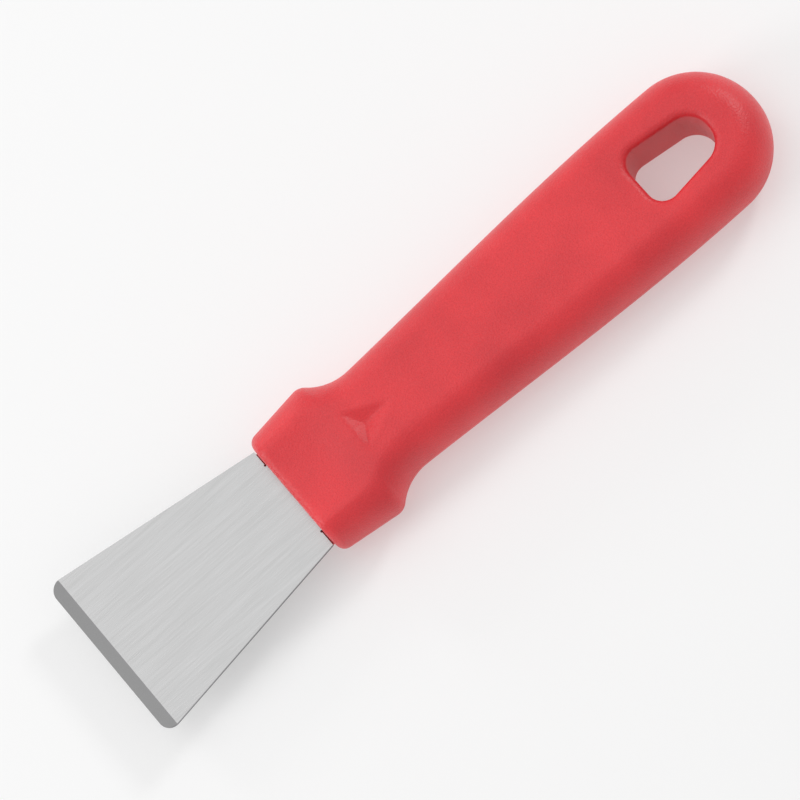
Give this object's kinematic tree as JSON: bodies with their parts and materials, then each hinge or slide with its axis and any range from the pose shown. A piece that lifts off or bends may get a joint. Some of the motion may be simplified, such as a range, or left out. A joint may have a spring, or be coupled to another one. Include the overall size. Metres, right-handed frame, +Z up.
{
  "type": "hive tool",
  "caption": "Flat scraping hive tool: a steel blade that widens to a bevelled edge, in a moulded plastic handle with a thumb scoop and a hanging hole.",
  "frame": {"origin": "on the surface the tool lies on, at the middle of its length and width", "axes": "+X points to the working edge, +Z is up on the bevel's side, Y = 0 is the plane of symmetry"},
  "size_m": [0.175, 0.0396, 0.017],
  "materials": {
    "blade_steel": "fine brushed stainless steel, with a ground bevel at the working edge",
    "handle_plastic": "red moulded polypropylene with a fine matte grain"
  },
  "bodies": {
    "root": {"blade": "blade_steel", "handle": "handle_plastic"}
  },
  "joints": []
}
